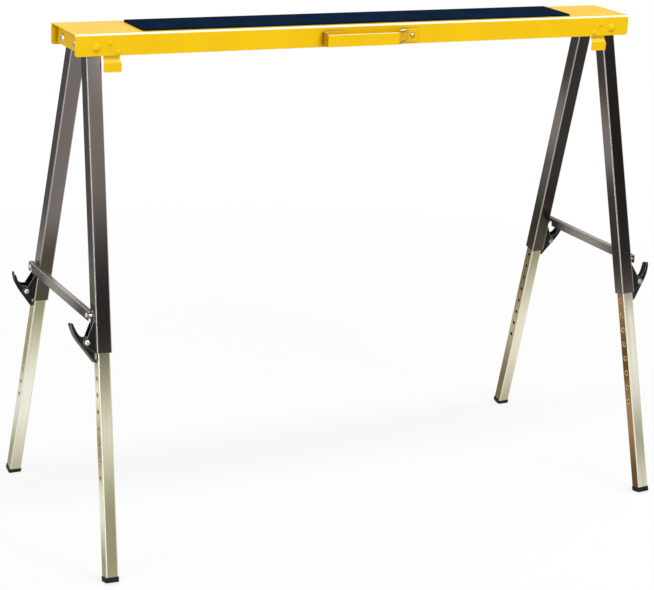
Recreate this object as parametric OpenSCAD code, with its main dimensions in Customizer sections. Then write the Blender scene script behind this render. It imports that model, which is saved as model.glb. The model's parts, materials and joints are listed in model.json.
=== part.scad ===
// Folding builders trestle: a pressed steel beam on two pairs of telescopic legs.
// The origin is on the floor under the middle of the beam, +X along the beam, +Z up.

/* [Beam] */
// Length of the pressed steel beam
beam_length = 1000; // [900:10:1200]
// Width across the beam's side walls
beam_width = 105; // [100:1:125]
// Height of the beam from the lower edges of its walls to its top
beam_height = 33.5; // [32:0.5:40]
// Thickness of the beam's sheet
beam_sheet = 1.5; // [1:0.1:2]
// Outside radius of the two folds along the beam
beam_fold_radius = 3; // [2.5:0.5:5]
// Radius of the lower corners at the ends of the walls
wall_corner_radius = 4; // [2:0.5:8]
// Height of the work surface above the floor
working_height = 813; // [780:1:820]

/* [Grip pad] */
// Length of the rubber pad on top of the beam
pad_length = 774; // [600:2:850]
// Width of the pad
pad_width = 82; // [60:1:92]
// Thickness of the pad
pad_thickness = 3; // [2:0.5:5]
// Radius of the pad's corners
pad_corner_radius = 2; // [1:0.5:6]

/* [Carry handle] */
// Length of the straight grip of the handle
handle_grip_length = 127; // [110:1:160]
// How far the grip lies to the left of the beam's middle
handle_offset = 23; // [0:1:60]
// How far the back of the handle's strap stands out from the wall
handle_reach = 17; // [15:1:24]
// Width of the handle's strap at its feet
handle_width = 22; // [18:1:24]
// Height of the grip, whose edges are rolled back
handle_grip_height = 19; // [16:0.5:22]
// Depth of the rolled edges of the grip
handle_lip = 4; // [3:0.5:6]
// Thickness of the handle's strap
handle_sheet = 1.5; // [1:0.1:2]
// Length along the beam of the handle's sloping right end
handle_slope = 25; // [15:1:35]
// How far the edges of the sloping end are turned to each side of the strap's middle
handle_edge = 2.2; // [1.5:0.1:2.5]
// Length of the left foot, which turns in under the grip
handle_left_foot = 36; // [26:1:46]
// Length of the right foot
handle_right_foot = 18; // [14:1:26]
// Height of the strap's lower edge above the lower edge of the wall
handle_rise = 3; // [1:0.5:6]
// Diameter of the handle's rivet heads
handle_rivet_head = 6.5; // [6:0.5:9]
// Diameter of the handle's rivet shanks
handle_rivet_shank = 4; // [3:0.5:5]

/* [Leg pivots] */
// Distance from the end of the beam to the pivot that a leg pair folds about
pivot_inset = 33.5; // [32:0.5:45]
// Depth of that pivot below the top of the beam
pivot_drop = 20; // [19.5:0.5:22]
// Distance between the two leg bolts of a pair
bolt_spacing = 56; // [50:1:60]
// Angle at which each leg leans out across the beam
splay_angle = 14.4; // [12:0.2:16]
// Angle at which each leg pair leans out along the beam
slant_angle = 2.2; // [1:0.1:3]
// Diameter of the leg bolts
bolt_diameter = 8; // [6:0.5:9]
// Diameter of the leg bolts' heads
bolt_head = 13.5; // [12:0.5:16]
// Height of the leg bolts' heads
bolt_head_height = 4; // [3:0.5:5]
// Width across the flats of the leg nuts
nut_flats = 13; // [11:0.5:14]
// Thickness of the leg nuts
nut_height = 4.5; // [3.5:0.5:5]
// Length of the sleeve between the end plate and a leg
spacer_length = 10.1; // [8:0.1:12]
// Outside diameter of that sleeve
spacer_diameter = 14; // [12:0.5:16]

/* [Leg bracket] */
// Thickness of the bracket's sheet
bracket_sheet = 1.5; // [1:0.1:2]
// Depth of the bracket's end plate below the fold pivot
plate_drop = 11; // [9.5:0.5:12]
// Radius of the rounded flanges round the fold pivot
flange_radius = 13.5; // [12:0.5:14]
// Depth of the notch that the latch drops into
notch_depth = 1.8; // [1:0.1:2.5]
// Diameter of the two dimples pressed into the end plate
dimple_diameter = 4; // [3:0.5:6]
// Height of those dimples
dimple_height = 0.8; // [0.4:0.1:1.2]
// Distance between those dimples
dimple_spacing = 9; // [7:0.5:14]
// Diameter of the fold pivot rivets
pivot_rivet_shank = 8; // [6:0.5:9]
// Diameter of their domed heads
pivot_rivet_head = 15; // [12:0.5:18]
// Height of their domed heads
pivot_rivet_dome = 3; // [2:0.5:4]
// Height of the formed tails of the rivets inside the beam
rivet_tail_height = 1.6; // [1:0.1:2]

/* [Latch] */
// Distance of the latch's pivot from the fold pivot along the beam
latch_pivot_x = 21.5; // [20:0.5:24]
// Height of the latch's pivot above the fold pivot
latch_pivot_z = 6; // [4:0.5:7]
// Distance of the latch's stop rivet from its pivot along the beam
latch_stop_x = 13.5; // [12:0.5:16]
// Depth of the latch's stop rivet below its pivot
latch_stop_z = 14; // [13:0.5:15]
// Width of the latch's finger tab
latch_tab_width = 26; // [22:1:30]
// Length of the tab's straight neck below the wall
latch_neck_length = 4; // [4:0.5:6]
// Height over which the neck bends out to the finger pad
latch_bend_length = 6; // [4:0.5:8]
// How far the finger pad stands out from the plate of the latch
latch_flare = 5.5; // [4:0.5:7]
// Length of the finger pad
latch_pad_length = 14; // [12:0.5:20]
// Width of the finger pad
latch_pad_width = 28.5; // [26:0.5:31]
// Radius of the finger pad's corners
latch_pad_radius = 2; // [1:0.5:4]
// Width of the latch's nose
latch_nose_width = 4; // [3:0.5:5]
// Angle that the latch turns through
latch_travel = 10; // [6:1:10]
// Diameter of the latch rivets' shanks
latch_rivet_shank = 5; // [4:0.5:6]
// Diameter of the latch rivets' heads
latch_rivet_head = 9; // [7:0.5:10]
// Height of the latch rivets' heads
latch_rivet_dome = 1.5; // [1:0.1:2.5]
// Diameter of the wire of the latch and lever springs
spring_wire = 1.2; // [0.8:0.1:1.4]

/* [Legs] */
// Width of the square upper leg tube
outer_tube_size = 24.4; // [23:0.2:26]
// Wall of the upper leg tube
outer_tube_wall = 1.5; // [1:0.1:1.8]
// Corner radius of the leg tubes
tube_corner_radius = 2.2; // [2:0.1:3]
// Length of the upper leg tube
outer_tube_length = 476; // [440:1:490]
// Length of the upper tube above its bolt
outer_tube_head = 12; // [10:0.5:13]
// Wall of the lower leg tube
inner_tube_wall = 1; // [0.6:0.1:1.5]
// Length of the lower leg tube inside the upper one at full height
tube_overlap = 95; // [60:1:120]
// Gap all round between the two tubes
slide_gap = 0.8; // [0.3:0.1:1]
// Number of height holes in a lower leg
hole_count = 8; // [4:1:9]
// Distance between the height holes
hole_pitch = 25.4; // [20:0.1:27]
// Diameter of the height holes
hole_diameter = 7; // [6.5:0.1:9]
// Distance from the sole to the lowest height hole
hole_end_gap = 160; // [120:1:170]

/* [Feet] */
// How far the foot stands proud of its tube
foot_lip = 0.8; // [0.5:0.1:1.1]
// Height of the foot below its tube
foot_height = 8; // [6:0.5:14]
// Length of the plug inside the tube
foot_plug = 18; // [10:1:30]
// Wall of the hollow plug
foot_plug_wall = 2; // [1.5:0.1:3]
// Depth of the flat that the foot stands on
foot_flat = 2; // [1:0.1:2.5]

/* [Lock lever] */
// Height of the lever's pivot above the lower end of the upper tube
lever_pivot_rise = 17; // [15:0.5:20]
// Distance of the lever's pivot from the face of the tube
lever_pivot_out = 13.5; // [12:0.5:15]
// Distance of the lever's horn from the face of the tube
lever_horn_out = 38; // [36:0.5:42]
// Height of the lever's horn above its pivot
lever_horn_up = 30; // [28:0.5:33]
// Depth of the lever's nose below its pivot
lever_nose_down = 31; // [29:0.5:34]
// Width of the lever
lever_width = 13; // [12:0.5:15]
// Thickness of the lever's cheeks and web
lever_sheet = 1.6; // [1.2:0.1:2]
// Width of the tooth that enters a height hole
lever_tooth_width = 5.6; // [4:0.1:6]
// Diameter of the lever's bolt
lever_bolt_diameter = 6; // [5:0.5:6]
// Diameter of the head of the lever's bolt
lever_bolt_head = 9.6; // [8:0.2:11]
// Height of the head of the lever's bolt
lever_bolt_head_height = 3; // [2:0.5:4]
// Width across the flats of the nut of the lever's bolt
lever_nut_flats = 9; // [8:0.5:10]
// Thickness of the nut of the lever's bolt
lever_nut_height = 3.6; // [3:0.2:5]
// Thickness of the sheet of the lever's bracket
ear_sheet = 1.5; // [1:0.1:2]
// Radius of the bracket's ears round the lever's pivot
ear_radius = 7; // [6:0.5:8]

/* [Strut] */
// Height of the strut above the pivot of the lever
strut_rise = 41; // [39:0.5:50]
// Height of the strut's channel
strut_height = 15; // [14:0.5:18]
// Depth of the strut's channel
strut_depth = 8.2; // [6:0.1:10]
// Thickness of the strut's sheet
strut_sheet = 1.5; // [1:0.1:2]
// How far the strut's front end lies beyond its bolt
strut_end = 6.5; // [6:0.5:8]
// How far the strut's hooked end lies beyond its stud
strut_hook_end = 10; // [7:0.5:12]
// Radius of the lower corners of the strut's ends
strut_corner_radius = 3; // [1:0.5:5]
// How far the strut's inner wall stops short of each stud
strut_wall_stop = 16; // [15:1:40]
// Diameter of the strut bolts' shoulders
stud_shoulder = 10; // [8.5:0.5:11]
// Diameter of the strut bolts' necks
stud_neck = 6; // [5:0.5:7]
// Diameter of the strut bolts' heads
stud_head = 8; // [7.5:0.5:11]
// Height of the strut bolts' heads
stud_head_height = 2.8; // [2:0.2:4]

/* [Hidden] */
$fn = 48;

// Sides: the left end and the front of the beam are -1, the right end and the rear are 1
left = -1;
right = 1;
front = -1;
rear = 1;

// Clearances: between moving pieces, in running bores, and past the end of a cut
gap = 0.3;
bore_gap = 0.05;
overrun = 1;

// Number of straight steps in a curved stretch of an outline
curve_steps = 10;

// Heights and places that follow from the beam
beam_top = working_height - pad_thickness;
beam_low = beam_top - beam_height;
wall_outer_y = beam_width / 2;
wall_inner_y = wall_outer_y - beam_sheet;
pivot_x = beam_length / 2 - pivot_inset;
pivot_z = beam_top - pivot_drop;
wall_low_z = beam_low - pivot_z;
head_room = pivot_drop - beam_sheet;

// The sheet layer just inside a wall, where the flanges and the latches turn
layer_outer_y = wall_inner_y - gap;
layer_inner_y = layer_outer_y - bracket_sheet;
rivet_tail_y = layer_inner_y - gap;
tail_share = 0.75;

// The end plate of a leg bracket, seen from its fold pivot
tube_half = outer_tube_size / 2;
plate_inner_x = tube_half + gap + spacer_length;
plate_outer_x = plate_inner_x + bracket_sheet;
plate_top = (head_room - gap - plate_outer_x * sin(slant_angle)) / cos(slant_angle);
nut_start_x = tube_half + gap;
nut_end_x = nut_start_x + nut_height;

// Places along a leg, measured down from its bolt
leg_drop = cos(splay_angle) * cos(slant_angle);
outer_end_s = outer_tube_length - outer_tube_head;
inner_tube_size = outer_tube_size - 2 * outer_tube_wall - 2 * slide_gap;
inner_half = inner_tube_size / 2;
foot_size = inner_tube_size + 2 * foot_lip;
corner_drop = foot_size / 2 * (sin(splay_angle) * cos(slant_angle) + sin(slant_angle));
sole_s = (pivot_z + foot_flat - corner_drop) / leg_drop;
inner_end_s = sole_s - foot_height;
inner_tube_length = inner_end_s - outer_end_s + tube_overlap;
lever_pivot_s = outer_end_s - lever_pivot_rise;
strut_s = lever_pivot_s - strut_rise;

// The lever's bracket: ears at each side of the lever, on a base plate
ear_inner_t = lever_width / 2 + gap;
ear_outer_t = ear_inner_t + ear_sheet;
ear_top_rise = strut_rise - norm([strut_end, strut_height / 2]) - 2 * gap;

// The strut, its two studs and the way that its hook lifts off
strut_span = bolt_spacing + 2 * strut_s * sin(splay_angle);
strut_inner_u = ear_sheet + gap;
strut_outer_u = strut_inner_u + strut_depth;
strut_web_u = strut_outer_u - strut_sheet;
splay_radians = splay_angle * PI / 180;
hook_lean = atan2(2 * strut_s * splay_radians * cos(splay_angle), strut_span * PI / 2);
hook_clearance = 0.25;

// Quadratic curve from a to c that is pulled towards b
function curve(a, b, c) = [
    for (i = [0 : curve_steps])
        let (t = i / curve_steps)
            a * pow(1 - t, 2) + b * 2 * t * (1 - t) + c * pow(t, 2)
];

// Points of a table of shares, times a size along each axis
function sized(shares, size_x, size_y) = [for (p = shares) [p.x * size_x, p.y * size_y]];

module flip(axis, on) {
    if (on) mirror(axis) children();
    else children();
}

// The beam's own axes at the fold pivot of one end, with +X towards the middle of the beam
module at_pivot(side) {
    flip([1, 0, 0], side == right) translate([-pivot_x, 0, pivot_z]) children();
}

// The leaning axes of a leg pair, with -X out of the end of the beam
module at_pair(side) {
    at_pivot(side) rotate([0, slant_angle, 0]) children();
}

// The axes of one leg, with its bolt at the origin and the leg running down -Z
module at_leg(side, depth) {
    at_pair(side) flip([0, 1, 0], depth == rear)
        translate([0, -bolt_spacing / 2, 0]) rotate([-splay_angle, 0, 0]) children();
}

// Extrusions along X from a Y-Z outline, and along Y from an X-Z outline
module along_x(length) {
    rotate([90, 0, 90]) linear_extrude(length, center = true) children();
}

module along_y(length) {
    rotate([90, 0, 0]) linear_extrude(length, center = true) children();
}

// A shaft or hole along X or Y between two places
module rod_x(diameter, from, to) {
    translate([from, 0, 0]) rotate([0, 90, 0]) cylinder(d = diameter, h = to - from);
}

module rod_y(diameter, from, to) {
    translate([0, from, 0]) rotate([-90, 0, 0]) cylinder(d = diameter, h = to - from);
}

module rounded_rectangle(length, width, radius) {
    square([length - 2 * radius, width], center = true);
    square([length, width - 2 * radius], center = true);
    for (x = [-1, 1], y = [-1, 1])
        translate([x * (length / 2 - radius), y * (width / 2 - radius)]) circle(radius);
}

module square_tube(size, wall, length) {
    linear_extrude(length) difference() {
        rounded_rectangle(size, size, tube_corner_radius);
        rounded_rectangle(size - 2 * wall, size - 2 * wall, tube_corner_radius - wall);
    }
}

// A strip of sheet seen on edge, bent at each of its points
module band(points, thickness) {
    for (i = [0 : len(points) - 2]) {
        step = points[i + 1] - points[i];
        translate(points[i]) rotate(atan2(step.y, step.x))
            translate([0, -thickness / 2]) square([norm(step), thickness]);
    }
    for (point = points) translate(point) circle(d = thickness);
}

// A domed head that stands up from the origin
module dome(diameter, height) {
    ball = (pow(diameter / 2, 2) + pow(height, 2)) / (2 * height);
    rotate_extrude() intersection() {
        translate([0, height - ball]) circle(ball);
        square([diameter / 2, height]);
    }
}

// A rivet through a side wall along Y: dome outside, formed tail inside
module wall_rivet(head, dome_height, shank, tail_y) {
    translate([0, -wall_outer_y, 0]) rotate([90, 0, 0]) dome(head, dome_height);
    rod_y(shank, -wall_outer_y, -tail_y + rivet_tail_height);
    rod_y(head * tail_share, -tail_y, -tail_y + rivet_tail_height);
}

// Beam, pad and handle

module beam_profile(sheet) {
    width = beam_width - 2 * sheet;
    radius = beam_fold_radius - sheet;
    low = sheet > 0 ? beam_low - overrun : beam_low;
    high = beam_top - sheet;
    translate([-width / 2, low]) square([width, high - radius - low]);
    translate([radius - width / 2, low]) square([width - 2 * radius, high - low]);
    for (y = [-1, 1]) translate([y * (width / 2 - radius), high - radius]) circle(radius);
}

module wall_corner_cut() {
    translate([-beam_length / 2, beam_low]) difference() {
        translate([-overrun, -overrun]) square(wall_corner_radius + overrun);
        translate([wall_corner_radius, wall_corner_radius]) circle(wall_corner_radius);
    }
}

module beam_channel() {
    color("gold") difference() {
        along_x(beam_length) difference() {
            beam_profile(0);
            beam_profile(beam_sheet);
        }
        for (end = [left, right]) {
            flip([1, 0, 0], end == right) along_y(beam_width + 2 * overrun) wall_corner_cut();
            at_pivot(end) {
                rod_y(pivot_rivet_shank, -beam_width, beam_width);
                translate([latch_pivot_x, 0, latch_pivot_z]) rod_y(latch_rivet_shank, -beam_width, 0);
                at_latch_stop() rod_y(latch_rivet_shank, -beam_width, 0);
            }
        }
        at_handle_rivets() rod_y(handle_rivet_shank, -beam_width, 0);
    }
}

module grip_pad() {
    color("midnightblue") translate([0, 0, beam_top]) linear_extrude(pad_thickness)
        rounded_rectangle(pad_length, pad_width, pad_corner_radius);
}

grip_left_x = -handle_offset - handle_grip_length / 2;
grip_right_x = handle_grip_length / 2 - handle_offset;
handle_low = beam_low + handle_rise;
foot_y = -wall_outer_y - handle_sheet / 2;
grip_y = foot_y - handle_reach;
grip_outer_y = grip_y - handle_sheet / 2;
right_foot_x = grip_right_x + handle_slope;
handle_rivet_xs = [
    grip_left_x + handle_left_foot - handle_right_foot / 2,
    right_foot_x + handle_right_foot / 2
];

module at_handle_rivets() {
    for (x = handle_rivet_xs) translate([x, 0, handle_low + handle_width / 2]) children();
}

slope_edge_shares = [0.14, 0.72];

module grip_lip(low) {
    translate([grip_left_x, grip_y, handle_low + low])
        cube([handle_grip_length, handle_lip - handle_sheet / 2, handle_sheet]);
}

// A turned edge of the handle's sloping end
module slope_edge(low) {
    start = [grip_right_x, grip_y];
    run = [handle_slope, handle_reach];
    translate(start + run * slope_edge_shares[0]) translate([0, 0, handle_low + low])
        rotate(atan2(run.y, run.x)) translate([0, -handle_edge, 0])
            cube([norm(run) * (slope_edge_shares[1] - slope_edge_shares[0]), 2 * handle_edge, handle_sheet]);
}

module carry_handle() {
    color("gold") difference() {
        union() {
            difference() {
                translate([0, 0, handle_low]) linear_extrude(handle_width) band([
                    [grip_left_x + handle_left_foot, foot_y],
                    [grip_left_x, foot_y],
                    [grip_left_x, grip_y],
                    [grip_right_x, grip_y],
                    [right_foot_x, foot_y],
                    [right_foot_x + handle_right_foot, foot_y]
                ], handle_sheet);
                translate([-beam_length / 2, grip_outer_y - overrun, handle_low + handle_grip_height])
                    cube([beam_length, 2 * handle_sheet + overrun, handle_width]);
            }
            grip_lip(0);
            grip_lip(handle_grip_height - handle_sheet);
            slope_edge(0);
            slope_edge(handle_width - handle_sheet);
        }
        at_handle_rivets() rod_y(handle_rivet_shank, -wall_outer_y - handle_sheet - overrun, 0);
    }
}

module handle_rivets() {
    head_y = wall_outer_y + handle_sheet;
    color("silver") at_handle_rivets() {
        translate([0, -head_y, 0]) rotate([90, 0, 0]) dome(handle_rivet_head, handle_rivet_head / 3);
        rod_y(handle_rivet_shank, -head_y, -wall_inner_y + rivet_tail_height);
        rod_y(handle_rivet_head * tail_share, -wall_inner_y, -wall_inner_y + rivet_tail_height);
    }
}

// Fold pivots and latches

module pivot_rivets(side) {
    color("gold") at_pivot(side) for (depth = [front, rear])
        flip([0, 1, 0], depth == rear)
            wall_rivet(pivot_rivet_head, pivot_rivet_dome, pivot_rivet_shank, rivet_tail_y);
}

module at_latch_pivot(side) {
    at_pivot(side) translate([latch_pivot_x, 0, latch_pivot_z]) children();
}

module at_latch_stop() {
    translate([latch_pivot_x + latch_stop_x, 0, latch_pivot_z - latch_stop_z]) children();
}

module latch_rivets(side) {
    color("gold") {
        at_latch_pivot(side)
            wall_rivet(latch_rivet_head, latch_rivet_dome, latch_rivet_shank, rivet_tail_y);
        at_pivot(side) at_latch_stop()
            wall_rivet(latch_rivet_head, latch_rivet_dome, latch_rivet_shank, rivet_tail_y);
    }
}

// The latch: a flat pawl inside the front wall, with a bent finger tab below it
latch_body_share = 0.85;
latch_tab_share = 0.87;
latch_body_radius = latch_rivet_head * latch_body_share;
latch_nose_x = flange_radius + 2 * gap;
latch_tab_x = latch_pivot_x + latch_stop_x - latch_tab_width * latch_tab_share;
latch_mid_y = -(layer_outer_y + layer_inner_y) / 2;

module latch_plate() {
    stop = [latch_pivot_x + latch_stop_x, latch_pivot_z - latch_stop_z];
    pivot = [latch_pivot_x, latch_pivot_z];
    neck = wall_low_z - gap;
    nose = latch_nose_width / 2;
    translate(pivot) circle(latch_body_radius);
    polygon([
        pivot + [0, latch_body_radius],
        [latch_tab_x + latch_tab_width, stop.y],
        [latch_tab_x + latch_tab_width, neck],
        [latch_tab_x, neck],
        [latch_tab_x, neck + nose],
        [latch_nose_x + nose, -latch_nose_width],
        [latch_nose_x, -nose],
        [latch_nose_x, nose],
        pivot - [latch_body_radius, 0]
    ]);
}

// The neck comes straight down inside the wall, and bends out to the finger pad below it
module latch_tab() {
    start = wall_low_z - gap;
    bend = start - latch_neck_length;
    pad_top = bend - latch_bend_length;
    pad_y = latch_mid_y - latch_flare;
    translate([latch_tab_x + latch_tab_width / 2, 0, 0]) {
        along_x(latch_tab_width) band([
            [latch_mid_y, start],
            [latch_mid_y, bend],
            [pad_y, pad_top],
            [pad_y, pad_top - latch_pad_radius]
        ], bracket_sheet);
        translate([0, pad_y, pad_top - latch_pad_length / 2]) along_y(bracket_sheet)
            rounded_rectangle(latch_pad_width, latch_pad_length, latch_pad_radius);
    }
}

// The slot that runs round the stop rivet as the latch turns
module latch_slot() {
    radius = norm([latch_stop_x, latch_stop_z]);
    width = latch_rivet_shank + 2 * gap;
    rest = atan2(latch_stop_z, latch_stop_x);
    rotate([90, 0, 0]) rotate(-rest - latch_travel)
        rotate_extrude(angle = latch_travel)
            translate([radius - width / 2, 0]) square([width, beam_width]);
    for (turn = [0, latch_travel]) rotate([0, rest + turn, 0])
        translate([radius, 0, 0]) rod_y(width, -beam_width, 0);
}

module latch(side) {
    color("gold") at_pivot(side) difference() {
        union() {
            translate([0, latch_mid_y, 0]) along_y(bracket_sheet) latch_plate();
            latch_tab();
        }
        translate([latch_pivot_x, 0, latch_pivot_z]) {
            rod_y(latch_rivet_shank + 2 * bore_gap, -beam_width, 0);
            latch_slot();
        }
    }
}

// A torsion spring round the tail of the latch's pivot rivet
module latch_spring(side) {
    coil_y = rivet_tail_y - rivet_tail_height;
    hub = latch_rivet_head * tail_share + 2 * gap;
    color("silver") at_latch_pivot(side) {
        difference() {
            rod_y(hub + 2 * spring_wire, -rivet_tail_y, -coil_y + spring_wire);
            rod_y(hub, -rivet_tail_y - overrun, -coil_y + spring_wire + overrun);
        }
        translate([hub / 2 + spring_wire / 2, -rivet_tail_y + spring_wire / 2, 0])
            rotate([0, 45, 0]) rod_x(spring_wire, 0, latch_stop_x / 2);
    }
}

// Leg brackets and their fasteners

module flange_outline() {
    difference() {
        union() {
            circle(flange_radius);
            translate([-plate_outer_x, -plate_drop]) square([plate_outer_x, plate_drop + flange_radius]);
        }
        translate([flange_radius - notch_depth, -latch_nose_width / 2 - 2 * gap])
            square([notch_depth + overrun, latch_nose_width + 4 * gap]);
    }
}

// The end plate, with its upper corners rounded to clear the folds of the beam
module plate_outline() {
    width = 2 * layer_outer_y;
    radius = beam_fold_radius;
    height = plate_drop + plate_top;
    translate([-width / 2, -plate_drop]) square([width, height - radius]);
    translate([radius - width / 2, -plate_drop]) square([width - 2 * radius, height]);
    for (y = [-1, 1]) translate([y * (width / 2 - radius), plate_top - radius]) circle(radius);
}

module leg_bracket(side) {
    color("gold") at_pair(side) difference() {
        union() {
            for (depth = [front, rear])
                translate([0, depth * (layer_outer_y + layer_inner_y) / 2, 0])
                    along_y(bracket_sheet) flange_outline();
            translate([-plate_outer_x + bracket_sheet / 2, 0, 0])
                along_x(bracket_sheet) plate_outline();
            for (y = [-1, 1]) translate([-plate_outer_x, y * dimple_spacing / 2, 0])
                rotate([0, -90, 0]) dome(dimple_diameter, dimple_height);
        }
        rod_y(pivot_rivet_shank + 2 * bore_gap, -beam_width, beam_width);
        for (depth = [front, rear]) translate([0, depth * bolt_spacing / 2, 0])
            rod_x(bolt_diameter, -plate_outer_x - overrun, 0);
    }
}

module at_leg_bolts(side) {
    at_pair(side) for (depth = [front, rear])
        translate([0, depth * bolt_spacing / 2, 0]) children();
}

// A cross recess cut into a head whose top is at the origin
cross_width_share = 0.13;
cross_length_share = 0.55;
cross_depth_share = 0.45;

module cross_recess(head, height) {
    depth = height * cross_depth_share;
    for (turn = [0, 90]) rotate([turn, 0, 0]) translate([-overrun, -head * cross_length_share / 2, 0])
        translate([0, 0, -head * cross_width_share / 2])
            cube([depth + overrun, head * cross_length_share, head * cross_width_share]);
}

module leg_bolts(side) {
    color("silver") at_leg_bolts(side) {
        rod_x(bolt_diameter, -plate_outer_x, nut_end_x + gap);
        difference() {
            translate([-plate_outer_x, 0, 0]) rotate([0, -90, 0]) dome(bolt_head, bolt_head_height);
            translate([-plate_outer_x - bolt_head_height, 0, 0]) cross_recess(bolt_head, bolt_head_height);
        }
    }
}

module leg_spacers(side) {
    color("silver") at_leg_bolts(side) difference() {
        rod_x(spacer_diameter, -plate_inner_x, -tube_half - gap);
        rod_x(bolt_diameter, -plate_outer_x, 0);
    }
}

module leg_nuts(side) {
    color("silver") at_leg_bolts(side) difference() {
        translate([nut_start_x, 0, 0]) rotate([0, 90, 0])
            cylinder(d = nut_flats / cos(30), h = nut_height, $fn = 6);
        rod_x(bolt_diameter, 0, nut_end_x + overrun);
    }
}

// Legs

module outer_tube(side, depth) {
    color([0.16, 0.14, 0.13]) at_leg(side, depth) difference() {
        translate([0, 0, -outer_end_s])
            square_tube(outer_tube_size, outer_tube_wall, outer_tube_length);
        rod_x(bolt_diameter + 2 * bore_gap, -outer_tube_size, outer_tube_size);
    }
}

module inner_tube(side, depth) {
    color([0.76, 0.74, 0.58]) at_leg(side, depth) difference() {
        translate([0, 0, -inner_end_s])
            square_tube(inner_tube_size, inner_tube_wall, inner_tube_length);
        for (i = [0 : hole_count - 1])
            translate([0, 0, hole_end_gap + i * hole_pitch - sole_s])
                rod_x(hole_diameter, -inner_tube_size, inner_tube_size);
    }
}

module foot(side, depth) {
    plug_size = inner_tube_size - 2 * inner_tube_wall - gap;
    color([0.13, 0.11, 0.1]) difference() {
        at_leg(side, depth) {
            translate([0, 0, -sole_s]) linear_extrude(foot_height)
                rounded_rectangle(foot_size, foot_size, tube_corner_radius);
            translate([0, 0, -inner_end_s]) linear_extrude(foot_plug) difference() {
                rounded_rectangle(plug_size, plug_size, tube_corner_radius);
                square(plug_size - 2 * foot_plug_wall, center = true);
            }
        }
        translate([-beam_length, -beam_length, -foot_size])
            cube([2 * beam_length, 2 * beam_length, foot_size]);
    }
}

// Lock levers. Outlines are drawn from the lever's pivot: first out of the tube's face, then up

module at_lever(side, depth) {
    at_leg(side, depth) translate([-tube_half - lever_pivot_out, 0, -lever_pivot_s]) children();
}

// An outline whose first axis points out of the leg, extruded across the leg
module across_leg(width) {
    along_y(width) mirror([1, 0]) children();
}

ear_top_shares = [[0.24, 0.97], [0.64, 0.62]];
ear_low_share = 0.9;

module ear_outline() {
    top = sized(ear_top_shares, lever_pivot_out, ear_top_rise);
    foot_z = -lever_pivot_rise * ear_low_share;
    circle(ear_radius);
    translate([-lever_pivot_out, 0]) polygon(concat(
        [[0, foot_z], [0, ear_top_rise], [top[0].x, ear_top_rise]],
        curve(top[0], top[1], [lever_pivot_out, ear_radius]),
        [[lever_pivot_out + ear_radius * cos(-40), ear_radius * sin(-40)], [2 * ear_sheet, foot_z]]
    ));
}

module lever_bracket(side, depth) {
    base_low = -lever_pivot_rise * ear_low_share;
    color([0.1, 0.1, 0.1]) at_lever(side, depth) difference() {
        union() {
            for (t = [-1, 1]) translate([0, t * (ear_inner_t + ear_outer_t) / 2, 0])
                across_leg(ear_sheet) ear_outline();
            translate([lever_pivot_out - ear_sheet, 0, base_low]) rotate([90, 0, 90])
                linear_extrude(ear_sheet) {
                    translate([-ear_outer_t, 0]) square([2 * ear_outer_t, strut_rise - base_low]);
                    translate([0, strut_rise - base_low]) circle(ear_outer_t);
                }
        }
        rod_y(lever_bolt_diameter, -beam_width, beam_width);
        translate([0, 0, strut_rise]) rod_x(stud_neck, 0, lever_pivot_out + overrun);
    }
}

module lever_bolt(side, depth) {
    color("silver") at_lever(side, depth) flip([0, 1, 0], side * depth < 0) {
        difference() {
            translate([0, -ear_outer_t, 0]) rotate([90, 0, 0]) dome(lever_bolt_head, lever_bolt_head_height);
            translate([0, -ear_outer_t - lever_bolt_head_height, 0]) rotate([0, 0, 90])
                cross_recess(lever_bolt_head, lever_bolt_head_height);
        }
        rod_y(lever_bolt_diameter, -ear_outer_t, ear_outer_t + lever_nut_height + gap);
        translate([0, ear_outer_t, 0]) rotate([-90, 0, 0])
            cylinder(d = lever_nut_flats / cos(30), h = lever_nut_height, $fn = 6);
    }
}

// A torsion spring round the lever's bolt, between the lever's cheeks
module lever_spring(side, depth) {
    half = lever_width / 2 - lever_sheet - gap;
    color("silver") at_lever(side, depth) difference() {
        rod_y(lever_bolt_diameter + 2 * gap + 2 * spring_wire, -half, half);
        rod_y(lever_bolt_diameter + 2 * gap, -half - overrun, half + overrun);
    }
}

// Shares of the horn's reach from the pivot and of its height
horn_shares = [[0.5, 0.03], [0.91, 0.48], [1, 0.98], [0.86, 1.01], [0.55, 0.3], [0.22, 0.3]];
tip_shares = [[0.98, 1.03], [0.92, 1.05]];
back_shares = [[-0.16, 0.3], [-0.25, 0.1], [-0.25, -0.2]];

module lever_outline() {
    reach = lever_horn_out - lever_pivot_out;
    horn = sized(horn_shares, reach, lever_horn_up);
    nose = [ear_sheet + gap - lever_pivot_out, -lever_nose_down];
    polygon(concat(
        curve(horn[0], horn[1], horn[2]),
        sized(tip_shares, reach, lever_horn_up),
        curve(horn[3], horn[4], horn[5]),
        sized(back_shares, reach, lever_horn_up),
        [[nose.x, -lever_pivot_rise], nose]
    ));
}

// The tooth reaches past the end of the upper tube, and stands just clear of the lower tube
module lever_tooth_outline() {
    tip = inner_half + gap - tube_half - lever_pivot_out;
    tooth = lever_tooth_width;
    polygon([
        [tip, -lever_nose_down],
        [tip, tooth / 2 - lever_nose_down],
        [ear_sheet + gap - lever_pivot_out, tooth - lever_nose_down],
        [tooth / 2 + ear_sheet + gap - lever_pivot_out, tooth - lever_nose_down],
        [ear_sheet + gap - lever_pivot_out, -lever_nose_down]
    ]);
}

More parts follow.
